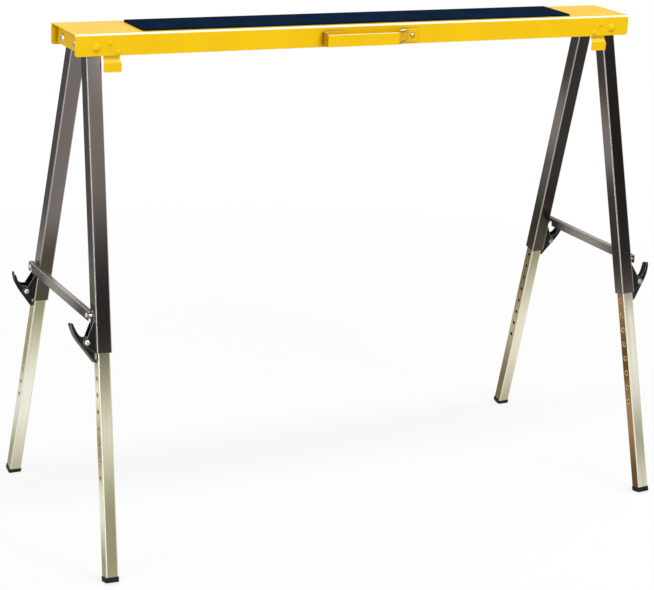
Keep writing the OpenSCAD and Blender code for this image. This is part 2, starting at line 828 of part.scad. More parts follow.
module lever(side, depth) {
    reach = lever_horn_out - lever_pivot_out;
    edge = [reach * horn_shares[0].x + lever_pivot_out, lever_horn_up * horn_shares[0].y + lever_nose_down];
    inward = [-edge.y, edge.x] / norm(edge) * lever_sheet;
    color([0.08, 0.08, 0.08]) at_lever(side, depth) difference() {
        union() {
            difference() {
                across_leg(lever_width) lever_outline();
                across_leg(lever_width - 2 * lever_sheet) translate(inward) lever_outline();
            }
            across_leg(lever_tooth_width) lever_tooth_outline();
        }
        rod_y(lever_bolt_diameter + 2 * bore_gap, -lever_width, lever_width);
    }
}

// Struts. Outlines lie in the plane of a leg pair, with the pivot of the strut at the front

module at_strut(side) {
    at_pair(side) translate([-tube_half, 0, -strut_s * cos(splay_angle)]) children();
}

module strut_plate(front_y, rear_y) {
    half = strut_height / 2;
    radius = strut_corner_radius;
    translate([front_y, radius - half]) square([rear_y - front_y, 2 * half - radius]);
    translate([front_y + radius, -half]) square([rear_y - front_y - 2 * radius, 2 * half]);
    for (y = [front_y + radius, rear_y - radius]) translate([y, radius - half]) circle(radius);
}

module strut(side) {
    front_y = -strut_span / 2 - strut_end;
    rear_y = strut_span / 2 + strut_hook_end;
    wall_y = strut_span / 2 - strut_wall_stop;
    half = strut_height / 2;
    slot = stud_neck + 2 * hook_clearance;
    color([0.2, 0.18, 0.17]) at_strut(side) difference() {
        union() {
            translate([strut_sheet / 2 - strut_outer_u, 0, 0]) along_x(strut_sheet)
                strut_plate(front_y, rear_y);
            translate([-strut_outer_u, front_y, half - strut_sheet])
                cube([strut_depth, rear_y - front_y, strut_sheet]);
            translate([-strut_inner_u - strut_sheet, -wall_y, -half])
                cube([strut_sheet, 2 * wall_y, strut_height]);
        }
        translate([0, -strut_span / 2, 0]) rod_x(stud_neck + 2 * bore_gap, -2 * strut_outer_u, 0);
        translate([0, strut_span / 2, 0]) {
            rod_x(slot, -2 * strut_outer_u, 0);
            rotate([-hook_lean, 0, 0]) translate([-2 * strut_outer_u, -slot / 2, -strut_height])
                cube([2 * strut_outer_u, slot, strut_height]);
        }
    }
}

// A shouldered stud that carries an end of the strut
module strut_stud() {
    seat = strut_web_u - gap;
    rod_x(stud_neck, -strut_outer_u - gap, 0);
    rod_x(stud_shoulder, -seat, -ear_sheet);
    translate([-strut_outer_u - gap, 0, 0]) rotate([0, -90, 0]) dome(stud_head, stud_head_height);
}

module strut_bolt(side) {
    color("silver") at_strut(side) translate([0, -strut_span / 2, 0]) strut_stud();
}

module hook_stud(side) {
    color("silver") at_strut(side) translate([0, strut_span / 2, 0]) strut_stud();
}

beam_channel();
grip_pad();
carry_handle();
handle_rivets();
pivot_rivets(left);  // left_pivot_rivets
pivot_rivets(right);  // right_pivot_rivets
latch_rivets(left);  // left_latch_rivets
latch_rivets(right);  // right_latch_rivets
latch_spring(left);  // left_latch_spring
latch_spring(right);  // right_latch_spring
latch(left);  // left_latch
latch(right);  // right_latch
leg_bracket(left);  // left_leg_bracket
leg_bracket(right);  // right_leg_bracket
leg_bolts(left);  // left_leg_bolts
leg_bolts(right);  // right_leg_bolts
leg_spacers(left);  // left_leg_spacers
leg_spacers(right);  // right_leg_spacers
leg_nuts(left);  // left_leg_nuts
leg_nuts(right);  // right_leg_nuts
outer_tube(left, front);  // left_front_outer_tube
outer_tube(left, rear);  // left_rear_outer_tube
outer_tube(right, front);  // right_front_outer_tube
outer_tube(right, rear);  // right_rear_outer_tube
lever_bracket(left, front);  // left_front_lever_bracket
lever_bracket(left, rear);  // left_rear_lever_bracket
lever_bracket(right, front);  // right_front_lever_bracket
lever_bracket(right, rear);  // right_rear_lever_bracket
lever_bolt(left, front);  // left_front_lever_bolt
lever_bolt(left, rear);  // left_rear_lever_bolt
lever_bolt(right, front);  // right_front_lever_bolt
lever_bolt(right, rear);  // right_rear_lever_bolt
lever_spring(left, front);  // left_front_lever_spring
lever_spring(left, rear);  // left_rear_lever_spring
lever_spring(right, front);  // right_front_lever_spring
lever_spring(right, rear);  // right_rear_lever_spring
lever(left, front);  // left_front_lever
lever(left, rear);  // left_rear_lever
lever(right, front);  // right_front_lever
lever(right, rear);  // right_rear_lever
inner_tube(left, front);  // left_front_inner_tube
inner_tube(left, rear);  // left_rear_inner_tube
inner_tube(right, front);  // right_front_inner_tube
inner_tube(right, rear);  // right_rear_inner_tube
foot(left, front);  // left_front_foot
foot(left, rear);  // left_rear_foot
foot(right, front);  // right_front_foot
foot(right, rear);  // right_rear_foot
strut(left);  // left_strut
strut(right);  // right_strut
strut_bolt(left);  // left_strut_bolt
strut_bolt(right);  // right_strut_bolt
hook_stud(left);  // left_hook_stud
hook_stud(right);  // right_hook_stud
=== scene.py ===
"""Looks of the folding builders trestle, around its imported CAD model."""

import json
import math

import bpy
from mathutils import Matrix, Vector


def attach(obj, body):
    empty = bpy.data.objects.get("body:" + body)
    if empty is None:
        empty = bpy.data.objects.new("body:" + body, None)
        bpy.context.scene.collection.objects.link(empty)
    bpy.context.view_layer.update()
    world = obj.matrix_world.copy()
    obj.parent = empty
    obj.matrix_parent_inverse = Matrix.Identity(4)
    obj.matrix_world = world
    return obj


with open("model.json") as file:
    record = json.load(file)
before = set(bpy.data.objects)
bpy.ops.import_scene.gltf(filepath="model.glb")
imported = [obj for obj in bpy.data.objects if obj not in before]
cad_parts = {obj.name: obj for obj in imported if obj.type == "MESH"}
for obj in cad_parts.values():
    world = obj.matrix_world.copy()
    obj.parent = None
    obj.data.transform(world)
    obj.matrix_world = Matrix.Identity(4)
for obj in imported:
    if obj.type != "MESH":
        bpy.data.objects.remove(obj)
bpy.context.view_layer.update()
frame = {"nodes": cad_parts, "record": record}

NODES = frame["nodes"]
RECORD = frame["record"]
SLOTS = {row["node"]: row["material_slot"] for row in RECORD["subparts"]}
JOINTS = {joint["name"]: joint for joint in RECORD["behaviour"]["joints"]}
LEGS = ["left_front", "left_rear", "right_front", "right_rear"]
MM = 0.001

# Camera, fitted to the corners of the beam and the feet in the photograph
IMAGE_WIDTH = 654
SENSOR_WIDTH = 36.0
FOCAL_PIXELS = 1933.7
CAMERA_PLACE = Vector((-1.4933, -2.7309, 1.3358))
CAMERA_YAW = math.radians(28.25)
CAMERA_PITCH = math.radians(17.76)
CAMERA_ROLL = math.radians(-3.24)

# Paints: two tones, the painted highlight on edges, corners and faces that look up, and the painted shade in
# joints, under things and on edges that look down
YELLOW = ("#F2C100", "#F7CA00")
YELLOW_PAINTED_HIGHLIGHT = "#FFFAE2"
YELLOW_PAINTED_SHADE = "#A87C00"
YELLOW_FINISH = {"roughness": 0.3, "specular": 0.2}
DARK = ("#6C6460", "#7A726D")
DARK_PAINTED_HIGHLIGHT = "#B0ABA8"
DARK_PAINTED_SHADE = "#2A2422"
DARK_FINISH = {"roughness": 0.09, "specular": 0.2, "metallic": 0.98}
BLACK = ("#0D0D0D", "#141313")
BLACK_PAINTED_HIGHLIGHT = "#AEAEAC"
BLACK_PAINTED_SHADE = "#3A3A39"
BLACK_FINISH = {"roughness": 0.18, "specular": 0.35}
PEEL_HEIGHT = 0.01 * MM
# Shares of a paint's roughness that it varies between, on its faces and along its edges
FACE_GLOSS = (0.92, 1.08)
EDGE_GLOSS = (0.8, 1.2)

# Reach of the painted shade in joints and creases, and the shares of open sky that it starts and ends at
JOINT_REACH = 9 * MM
JOINT_CREASES = (0.45, 0.92)
HANDLE_REACH = 4 * MM
HANDLE_CREASES = (0.83, 0.985)
# The handle's painted shade on its ends, and its deeper painted shade in creases and underneath
HANDLE_PAINTED_END_SHADE = "#C28500"
HANDLE_PAINTED_SHADE = "#7C4C00"

# Parts of the normal over which painted light sets in: shade on ends, highlight on top, shade below, both
# along edges, and highlight on corners
END_RANGE = (0.1, 0.6)
TOP_RANGE = (0.45, 0.9)
BELOW_RANGE = (-0.2, -0.8)
EDGE_RANGE = (-0.35, 0.25)
CORNER_RANGE = (0.1, 0.25)
CORNER_METAL = 0.4

# Lower tubes: tones, drawn lines, the painted highlight on corners, and the inner faces of the front and the
# rear legs
ZINC = ("#E3DFC4", "#F1EFE2")
ZINC_LINES = "#C4BD92"
ZINC_PAINTED_HIGHLIGHT = "#F0ECDC"
ZINC_ROUGHNESS = (0.05, 0.1)
CORNER_ROUGHENING = 4.0
LINE_SHARE = 0.25
LINE_HEIGHT = 0.004 * MM
INNER_FACES = {"front": ("#8A6640", "#9A7850"), "rear": ("#AC9E80", "#BBAE90")}
INNER_RANGE = (0.6, 0.97)

# Strut: tones at its ends and the painted sheen in its middle, and the distances across the beam that these
# reach to
STRUT_ENDS = ("#4A423E", "#564E49")
STRUT_PAINTED_SHEEN = ("#A59D97", "#B7AFA9")
STRUT_ROUGHNESS = (0.22, 0.34)
SHEEN_FULL = 0.012
SHEEN_END = 0.095

# Bolts and rivets, the rims of the height holes, the pad and the feet
STEEL = ("#C6C7C8", "#DCDBD6")
STEEL_ROUGHNESS = (0.16, 0.3)
RIM_GOLD = ("#C9AC50", "#E6D48C")
RIM_ROUGHNESS = (0.32, 0.5)
RUBBER = ("#0F1D31", "#132339")
RUBBER_ROUGHNESS = 0.9
PEBBLE_SCALE = 700.0
PEBBLE_HEIGHT = 0.15 * MM
FOOT = ("#151110", "#211B19")
FOOT_ROUGHNESS = (0.38, 0.55)
FOOT_GRAIN = 0.04 * MM

# Spans of a noise's values that are drawn out to a whole range
WIDE = (0.3, 0.7)
NARROW = (0.35, 0.65)
NO_TURN = (0, 0, 0)


def linear(hex_colour):
    """The linear colour of an sRGB hex code, with alpha."""
    parts = [int(hex_colour[i:i + 2], 16) / 255 for i in (1, 3, 5)]
    return [p / 12.92 if p <= 0.04045 else ((p + 0.055) / 1.055) ** 2.4 for p in parts] + [1.0]


# Shader nodes

def new_material(name, base, roughness, metallic=0.0, specular=0.5):
    """A Principled material, its node tree and its shader."""
    material = bpy.data.materials.new(name)
    material.use_nodes = True
    shader = material.node_tree.nodes["Principled BSDF"]
    shader.inputs["Base Color"].default_value = linear(base)
    shader.inputs["Roughness"].default_value = roughness
    shader.inputs["Metallic"].default_value = metallic
    shader.inputs["Specular IOR Level"].default_value = specular
    return material, material.node_tree, shader


def noise(tree, scale, detail=4.0, stretch=(1, 1, 1), turn=NO_TURN):
    """A noise texture in object space, in turned axes and drawn out by a stretch along each."""
    place = tree.nodes.new("ShaderNodeTexCoord")
    mapping = tree.nodes.new("ShaderNodeMapping")
    mapping.vector_type = "TEXTURE"
    mapping.inputs["Rotation"].default_value = turn
    mapping.inputs["Scale"].default_value = stretch
    texture = tree.nodes.new("ShaderNodeTexNoise")
    texture.inputs["Scale"].default_value = scale
    texture.inputs["Detail"].default_value = detail
    tree.links.new(place.outputs["Object"], mapping.inputs["Vector"])
    tree.links.new(mapping.outputs["Vector"], texture.inputs["Vector"])
    return texture.outputs["Fac"]


def ramp(tree, source, low, high, first=0.0, last=1.0):
    """A number from low to high that follows a source between first and last."""
    node = tree.nodes.new("ShaderNodeMapRange")
    node.inputs["From Min"].default_value = first
    node.inputs["From Max"].default_value = last
    node.inputs["To Min"].default_value = low
    node.inputs["To Max"].default_value = high
    tree.links.new(source, node.inputs["Value"])
    return node.outputs["Result"]


def mixed(tree, source, first, second):
    """A colour between two by a source; each is a hex code or a socket."""
    mix = tree.nodes.new("ShaderNodeMix")
    mix.data_type = "RGBA"
    for socket, colour in ((mix.inputs[6], first), (mix.inputs[7], second)):
        if isinstance(colour, str):
            socket.default_value = linear(colour)
        else:
            tree.links.new(colour, socket)
    tree.links.new(source, mix.inputs["Factor"])
    return mix.outputs[2]


def product(tree, first, second):
    """The absolute product of two numbers."""
    times = tree.nodes.new("ShaderNodeMath")
    times.operation = "MULTIPLY"
    tree.links.new(first, times.inputs[0])
    tree.links.new(second, times.inputs[1])
    size = tree.nodes.new("ShaderNodeMath")
    size.operation = "ABSOLUTE"
    tree.links.new(times.outputs["Value"], size.inputs[0])
    return size.outputs["Value"]


def bump(tree, shader, source, height, strength):
    """Small relief of a height in metres."""
    node = tree.nodes.new("ShaderNodeBump")
    node.inputs["Strength"].default_value = strength
    node.inputs["Distance"].default_value = height
    tree.links.new(source, node.inputs["Height"])
    tree.links.new(node.outputs["Normal"], shader.inputs["Normal"])


def object_place(tree):
    """The place in object space, as a vector."""
    return tree.nodes.new("ShaderNodeTexCoord").outputs["Object"]


def split(tree, vector):
    """The three parts of a vector."""
    parts = tree.nodes.new("ShaderNodeSeparateXYZ")
    tree.links.new(vector, parts.inputs["Vector"])
    return parts.outputs


def normal_parts(tree, turn=NO_TURN):
    """The three parts of the surface's normal in turned object axes."""
    place = tree.nodes.new("ShaderNodeTexCoord")
    mapping = tree.nodes.new("ShaderNodeMapping")
    mapping.vector_type = "TEXTURE"
    mapping.inputs["Rotation"].default_value = turn
    tree.links.new(place.outputs["Normal"], mapping.inputs["Vector"])
    return split(tree, mapping.outputs["Vector"])


def corner_highlight_share(tree, axes, turn=NO_TURN):
    """A mask for painted highlights: 1 on the rounded corners between the faces of two axes, and 0 on the
    faces themselves.
    """
    parts = normal_parts(tree, turn)
    return ramp(tree, product(tree, parts[axes[0]], parts[axes[1]]), 0, 1, *CORNER_RANGE)


def crevices(tree, reach):
    """A mask for painted shade: 1 in the open, and less in gaps and along joints that are narrower than the
    reach.
    """
    node = tree.nodes.new("ShaderNodeAmbientOcclusion")
    node.samples = 8
    node.inputs["Distance"].default_value = reach
    return node.outputs["AO"]


def mixed_shader(tree, share, first, second):
    """A shader between two by a share."""
    mix = tree.nodes.new("ShaderNodeMixShader")
    tree.links.new(share, mix.inputs["Fac"])
    tree.links.new(first, mix.inputs[1])
    tree.links.new(second, mix.inputs[2])
    return mix.outputs["Shader"]


# Materials

def leg_frame(leg):
    """A leg's bolt, and in columns its axes: along its bolt, across that, and up the leg."""
    bolt = Vector(JOINTS[leg + "_close"]["pos_m"])
    up = Vector(JOINTS[leg + "_height"]["axis"]).normalized()
    along = Vector(JOINTS[leg + "_close"]["axis"]).normalized()
    return bolt, Matrix((along, up.cross(along), up)).transposed()


def leg_turn(leg):
    """The turn from the object's axes to a leg's."""
    return leg_frame(leg)[1].to_euler()


def paint(name, tones, roughness, specular, metallic=0.0, turn=NO_TURN, corner=None, corner_axes="XY"):
    """Smooth paint between two tones with a faint orange peel, and, when a corner colour is given, a paler
    painted highlight on the corners.
    """
    material, tree, shader = new_material(name, tones[0], roughness, metallic, specular)
    clouds = noise(tree, scale=10.0, detail=4.0, stretch=(1, 1, 5), turn=turn)
    tone = mixed(tree, ramp(tree, clouds, 0, 1, *WIDE), *tones)
    gloss = [roughness * share for share in FACE_GLOSS]
    rough = ramp(tree, noise(tree, scale=25.0, detail=1.0), *gloss)
    # A painted highlight in a paler colour on the rounded corners, less metallic there
    if corner:
        share = corner_highlight_share(tree, corner_axes, turn)
        tone = mixed(tree, share, tone, corner)
        metal = ramp(tree, share, metallic, metallic * CORNER_METAL)
        tree.links.new(metal, shader.inputs["Metallic"])
    tree.links.new(tone, shader.inputs["Base Color"])
    tree.links.new(rough, shader.inputs["Roughness"])
    bump(tree, shader, noise(tree, scale=800.0, detail=2.0), PEEL_HEIGHT, strength=0.2)
    return material


def shaded(material, deep, lit=None, side=None, reach=JOINT_REACH, creases=JOINT_CREASES):
    """Adds painted light to a paint: painted shade in joints, creases and on undersides, and where given a
    painted highlight on top and painted shade on its ends.
    """
    tree = material.node_tree
    base = tree.nodes["Principled BSDF"].inputs["Base Color"]
    tone = base.links[0].from_socket
    normal = normal_parts(tree)
    # Painted shade on the ends, a painted highlight on top, and painted shade below and in crevices
    if side:
        end_share = ramp(tree, product(tree, normal["X"], normal["X"]), 0, 1, *END_RANGE)
        tone = mixed(tree, end_share, tone, side)
    if lit:
        tone = mixed(tree, ramp(tree, normal["Z"], 0, 1, *TOP_RANGE), tone, lit)
    tone = mixed(tree, ramp(tree, normal["Z"], 0, 1, *BELOW_RANGE), tone, deep)
    tone = mixed(tree, ramp(tree, crevices(tree, reach), 0, 1, *creases), deep, tone)
    tree.links.new(tone, base)
    return material


def edge_painted_light(name, upper, lower, roughness):
    """Paint along an edge: a painted highlight where it looks up and painted shade where it looks down."""
    material, tree, shader = new_material(name, upper, roughness, specular=0.3)
    tone = mixed(tree, ramp(tree, normal_parts(tree)["Z"], 0, 1, *EDGE_RANGE), lower, upper)
    gloss = [roughness * share for share in EDGE_GLOSS]
    rough = ramp(tree, noise(tree, scale=70.0), *gloss, *WIDE)
    tree.links.new(tone, shader.inputs["Base Color"])
    tree.links.new(rough, shader.inputs["Roughness"])
    return material


def mottled(name, tones, roughness, patch, grain, spread=WIDE, metallic=0.0, specular=0.5):
    """A material of two tones in patches, whose gloss varies in a finer grain."""
    material, tree, shader = new_material(name, tones[0], roughness[0], metallic, specular)
    tone = mixed(tree, ramp(tree, noise(tree, scale=patch), 0, 1, *spread), *tones)
    rough = ramp(tree, noise(tree, scale=grain), *roughness, *WIDE)
    tree.links.new(tone, shader.inputs["Base Color"])
    tree.links.new(rough, shader.inputs["Roughness"])
    return material


def zinc(leg):
    """Drawn tube with a champagne passivation and lines along the leg, a painted highlight on its corners,
    and a browner inner face.
    """
    turn = leg_turn(leg)
    material, tree, shader = new_material("zinc_" + leg, ZINC[0], ZINC_ROUGHNESS[0], metallic=1.0)
    bands = noise(tree, scale=5.0, detail=3.0, stretch=(1, 1, 1.2), turn=turn)
    bands = ramp(tree, bands, 0, 1, *NARROW)
    lines = noise(tree, scale=420.0, detail=3.0, stretch=(1, 1, 60), turn=turn)
    lines = ramp(tree, lines, 0, 1, *WIDE)
    corners = corner_highlight_share(tree, "XY", turn)
    tone = mixed(tree, bands, *ZINC)
    tone = mixed(tree, ramp(tree, lines, 0, LINE_SHARE), tone, ZINC_LINES)
    side, depth = leg.split("_")
    inward = 1 if side == "left" else -1
    inner_face = ramp(tree, normal_parts(tree)["X"], 0, 1, *[part * inward for part in INNER_RANGE])
    tone = mixed(tree, inner_face, tone, mixed(tree, bands, *INNER_FACES[depth]))
    # A painted highlight along the corners
    tone = mixed(tree, corners, tone, ZINC_PAINTED_HIGHLIGHT)
    rough = product(tree, ramp(tree, lines, *ZINC_ROUGHNESS), ramp(tree, corners, 1, CORNER_ROUGHENING))
    tree.links.new(tone, shader.inputs["Base Color"])
    tree.links.new(ramp(tree, corners, 1, CORNER_METAL), shader.inputs["Metallic"])
    tree.links.new(rough, shader.inputs["Roughness"])
    bump(tree, shader, lines, LINE_HEIGHT, strength=0.4)
    return material


def dark_zinc():
    """The strut's dull brown-grey plating, with a painted sheen, a pale painted reflection, along its middle.
    """
    material, tree, shader = new_material("dark_zinc", STRUT_PAINTED_SHEEN[0], STRUT_ROUGHNESS[0], metallic=0.6)
    across = split(tree, object_place(tree))["Y"]
    sheen = ramp(tree, product(tree, across, across), 1, 0, SHEEN_FULL ** 2, SHEEN_END ** 2)
    streaks = ramp(tree, noise(tree, scale=12.0, detail=4.0, stretch=(1, 6, 1)), 0, 1, *WIDE)
    # A painted sheen along the middle, darker towards the ends
    tone = mixed(tree, sheen, mixed(tree, streaks, *STRUT_ENDS), mixed(tree, streaks, *STRUT_PAINTED_SHEEN))
    rough = ramp(tree, noise(tree, scale=200.0, detail=3.0, stretch=(1, 20, 1)), *STRUT_ROUGHNESS, *WIDE)
    tree.links.new(tone, shader.inputs["Base Color"])
    tree.links.new(rough, shader.inputs["Roughness"])
    return material


def grip_rubber():
    """Matt rubber with a fine pebbled face."""
    material, tree, shader = new_material("grip_rubber", RUBBER[0], RUBBER_ROUGHNESS, specular=0.0)
    tone = mixed(tree, ramp(tree, noise(tree, scale=30.0), 0, 1, *WIDE), *RUBBER)
    tree.links.new(tone, shader.inputs["Base Color"])
    pebbles = tree.nodes.new("ShaderNodeTexVoronoi")
    pebbles.inputs["Scale"].default_value = PEBBLE_SCALE
    tree.links.new(object_place(tree), pebbles.inputs["Vector"])
    bump(tree, shader, pebbles.outputs["Distance"], PEBBLE_HEIGHT, strength=0.4)
    return material


def foot_plastic():
    """Black plastic with a fine moulded grain."""
    material = mottled("foot_plastic", FOOT, FOOT_ROUGHNESS, patch=60.0, grain=300.0, specular=0.3)
    tree = material.node_tree
    grain = noise(tree, scale=1200.0, detail=2.0)
    bump(tree, tree.nodes["Principled BSDF"], grain, FOOT_GRAIN, strength=0.4)
    return material


# Edge strips of each painted slot: painted highlight where they look up, painted shade where they look down
EDGE_PAINTED_LIGHT = {
    "yellow_paint": edge_painted_light("yellow_edge_painted_light", YELLOW_PAINTED_HIGHLIGHT, YELLOW_PAINTED_SHADE, roughness=0.28),
    "dark_paint": edge_painted_light("dark_edge_painted_light", DARK_PAINTED_HIGHLIGHT, DARK_PAINTED_SHADE, roughness=0.25),
    "black_paint": edge_painted_light("black_edge_painted_light", BLACK_PAINTED_HIGHLIGHT, BLACK_PAINTED_SHADE, roughness=0.2),
}
SHARED = {
    # Yellow pieces, with painted shade in their joints and undersides
    "yellow_paint": shaded(paint("yellow_paint", YELLOW, **YELLOW_FINISH), YELLOW_PAINTED_SHADE),
    "dark_paint": dark_zinc(),
    "black_paint": paint("black_paint", BLACK, **BLACK_FINISH),
    "steel": mottled(
        "bright_steel", STEEL, STEEL_ROUGHNESS, patch=90.0, grain=400.0, spread=NARROW, metallic=1.0
    ),
    "grip_rubber": grip_rubber(),
    "foot_plastic": foot_plastic(),
}
# The beam's paint, with a painted highlight along its folds and painted shade in its joints and underneath
BEAM_PAINT = paint("beam_paint", YELLOW, corner=YELLOW_PAINTED_HIGHLIGHT, corner_axes="YZ", **YELLOW_FINISH)
shaded(BEAM_PAINT, YELLOW_PAINTED_SHADE)
# The handle's paint, with a painted highlight on top, painted shade on its ends and undersides, and in its
# creases
HANDLE_PAINT = paint("handle_paint", YELLOW, **YELLOW_FINISH)
shaded(HANDLE_PAINT, HANDLE_PAINTED_SHADE, YELLOW_PAINTED_HIGHLIGHT, HANDLE_PAINTED_END_SHADE, HANDLE_REACH, HANDLE_CREASES)
# Each leg's upper tube, with a painted highlight along its corners
LEG_PAINT = {
    leg: paint("leg_paint_" + leg, DARK, turn=leg_turn(leg), corner=DARK_PAINTED_HIGHLIGHT, **DARK_FINISH)
    for leg in LEGS
}
LEG_ZINC = {leg: zinc(leg) for leg in LEGS}
# The yellow passivation that gathers on the worked rims of the height holes
GOLD = mottled(
    "gold_zinc", RIM_GOLD, RIM_ROUGHNESS, patch=150.0, grain=500.0, spread=NARROW, metallic=0.3
)


def material_of(node):
    """The beam, the handle and each leg's tubes have their own material; the rest share one a slot."""
    if node == "beam_channel":
        return BEAM_PAINT
    if node == "carry_handle":
        return HANDLE_PAINT
    for leg in LEGS:
        if node == leg + "_outer_tube":
            return LEG_PAINT[leg]
        if node == leg + "_inner_tube":
            return LEG_ZINC[leg]
    return SHARED[SLOTS[node]]


# Width of the softened edges of each kind of piece
EDGES = {
    "grip_pad": 0.8 * MM,
    "carry_handle": 0.7 * MM,
    "latch": 0.5 * MM,
    "leg_bracket": 0.4 * MM,
    "lever_bracket": 0.4 * MM,
    "lever": 0.6 * MM,
    "strut": 0.6 * MM,
    "foot": 1.0 * MM,
    "outer_tube": 0.4 * MM,
    "inner_tube": 0.3 * MM,
    "beam_channel": 0.5 * MM,
}
OTHER_EDGES = 0.2 * MM
# Kinds whose flat faces are made whole before their edges are softened
PLAIN_FACES = ("carry_handle", "latch", "leg_bracket", "strut")
FLAT_ANGLE = math.radians(0.5)
SMOOTH_ANGLE = math.radians(32)
SAME_POINT = 0.001 * MM


def kind_of(node):
    """The longest kind that ends the node's name, or none."""
    kinds = [kind for kind in EDGES if node == kind or node.endswith("_" + kind)]
    return max(kinds, key=len) if kinds else None


def dress(node, piece):
    """Gives a CAD node its material and softened edges; on painted pieces of the listed kinds the edges get a
    painted highlight where they look up and painted shade where they look down.
    """
    kind = kind_of(node)
    piece.data.materials.clear()
    piece.data.materials.append(material_of(node))
    for face in piece.data.polygons:
        face.use_smooth = True
    weld = piece.modifiers.new("weld", "WELD")
    weld.merge_threshold = SAME_POINT
    if kind in PLAIN_FACES:
        planes = piece.modifiers.new("whole_faces", "DECIMATE")
        planes.decimate_type = "DISSOLVE"
        planes.angle_limit = FLAT_ANGLE
    bevel = piece.modifiers.new("soft_edges", "BEVEL")
    bevel.width = EDGES[kind] if kind else OTHER_EDGES
    bevel.segments = 2
    bevel.limit_method = "ANGLE"
    bevel.angle_limit = SMOOTH_ANGLE
    bevel.use_clamp_overlap = True
    # Edge strips get a painted highlight where they look up and painted shade where they look down
    if kind and SLOTS[node] in EDGE_PAINTED_LIGHT:
        piece.data.materials.append(EDGE_PAINTED_LIGHT[SLOTS[node]])
        bevel.material = 1
    flats = piece.modifiers.new("flat_faces", "WEIGHTED_NORMAL")
    flats.mode = "FACE_AREA"
    flats.weight = 100


for node, piece in NODES.items():
    dress(node, piece)


# Added pieces

def add_mesh(name, points, faces, material, body):
    """A smooth mesh piece that rides on a body."""
    mesh = bpy.data.meshes.new(name)
    mesh.from_pydata([tuple(point) for point in points], [], faces)
    mesh.validate()
    for face in mesh.polygons:
        face.use_smooth = True
    mesh.materials.append(material)
    piece = bpy.data.objects.new(name, mesh)
    bpy.context.scene.collection.objects.link(piece)
    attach(piece, body)
    return piece


def swept(profile_rings):
    """Points and faces of a closed band through rings of equal count, each ring closed."""
    count = len(profile_rings[0])
    points = [point for ring in profile_rings for point in ring]
    faces = []
    rings = len(profile_rings)
    for i in range(rings):
        for k in range(count):
            here = i * count + k
            beside = i * count + (k + 1) % count
            above = ((i + 1) % rings) * count + k
            over = ((i + 1) % rings) * count + (k + 1) % count
            faces.append((here, beside, over, above))
    return points, faces


# Height holes: the lowest one's distance from the bolt, their spacing, and half the tube's width
LOW_HOLE = 655.12 * MM
HOLE_PITCH = 25.4 * MM
HOLE_COUNT = 8
TUBE_HALF = 9.9 * MM
# Outline of a rim in millimetres, as radius and height above the face of the tube
RIM = [
    (3.15, -3.6), (3.15, -0.1), (3.35, 0.18), (3.9, 0.25),
    (4.45, 0.14), (4.7, -0.05), (3.45, -0.1), (3.45, -3.6),
]
RIM_SIDES = 24


def hole_rims(leg):
    """The worked rims of a leg's height holes, on the outer face and, in a front leg, the inner one too."""
    bolt, axes = leg_frame(leg)
    along, across, up = axes.transposed()
    outward = 1 if along.x * bolt.x > 0 else -1
    sides = (-1, 1) if leg.endswith("front") else (outward,)
    points, faces = [], []
    for hole in range(HOLE_COUNT):
        for side in sides:
            centre = bolt - up * (LOW_HOLE - hole * HOLE_PITCH) + along * side * TUBE_HALF
            rings = []
            for step in range(RIM_SIDES):
                turn = 2 * math.pi * step / RIM_SIDES
                spoke = across * math.cos(turn) + up * math.sin(turn)
                rings.append([centre + spoke * r * MM + along * side * h * MM for r, h in RIM])
            ring_points, ring_faces = swept(rings)
            faces += [tuple(index + len(points) for index in face[::side]) for face in ring_faces]
            points += ring_points
    return add_mesh(leg + "_hole_rims", points, faces, GOLD, leg + "_lower_leg")


for leg in LEGS:
    hole_rims(leg)


# Floor

FLOOR_SIZE = 40.0
FLOOR_GAP = 0.2 * MM
PAPER = (0.9, 0.9, 0.9, 1)
# Whiteness of the floor to the camera, near the object and far from it
SHADOW_SHARE = 0.8
SHADOW_NEAR = 0.8
SHADOW_FAR = 2.0
# Plain cards that the metal mirrors, in three linear colours; one passes softly into the next
WHITE_CARD = (1.0, 1.0, 1.0, 1.0)
GREY_CARD = (0.4, 0.388, 0.299, 1.0)
BLACK_CARD = (0.06, 0.06, 0.06, 1.0)
# Those on the floor: colour, start and end across the beam in metres
FLOOR_CARDS = [
    (WHITE_CARD, -1.0, -0.4),
    (GREY_CARD, -0.3, -0.15),
    (WHITE_CARD, 0.0, 0.1),
    (GREY_CARD, 0.25, 0.35),
    (WHITE_CARD, 0.55, 0.6),
    (GREY_CARD, 0.8, 1.25),
    (WHITE_CARD, 1.5, 2.0),
]
# Shaded areas of the mirrored floor: where each starts and is full along an axis, and its brightness
FLOOR_SHADES = [
    ([("X", 0.2, 0.6), ("Y", -0.2, -0.32)], 0.2),
    ([("X", -0.9, -1.2), ("Y", 1.2, 1.45)], 0.25),
    ([("X", -0.7, -0.55), ("X", -0.085, -0.1), ("Y", 0.45, 0.6)], 0.5),
]


def plane(name, size, place):
    """A level square."""
    half = size / 2
    corners = [(-half, -half, 0), (half, -half, 0), (half, half, 0), (-half, half, 0)]
    mesh = bpy.data.meshes.new(name)
    mesh.from_pydata(corners, [], [(0, 1, 2, 3)])
    piece = bpy.data.objects.new(name, mesh)
    piece.location = place
    bpy.context.scene.collection.objects.link(piece)
    return piece


def cards(tree, source, rows):
    """The colours of a row of cards along a source."""
    first = rows[0][1]
    last = rows[-1][2]
    stops = [((limit - first) / (last - first), colour) for colour, *limits in rows for limit in limits]
    node = tree.nodes.new("ShaderNodeValToRGB")
    elements = node.color_ramp.elements
    for _ in stops[2:]:
        elements.new(0.5)
    for element, (position, colour) in zip(elements, stops):
        element.position = position
        element.color = colour
    tree.links.new(ramp(tree, source, 0, 1, first, last), node.inputs["Fac"])
    return node.outputs["Color"]


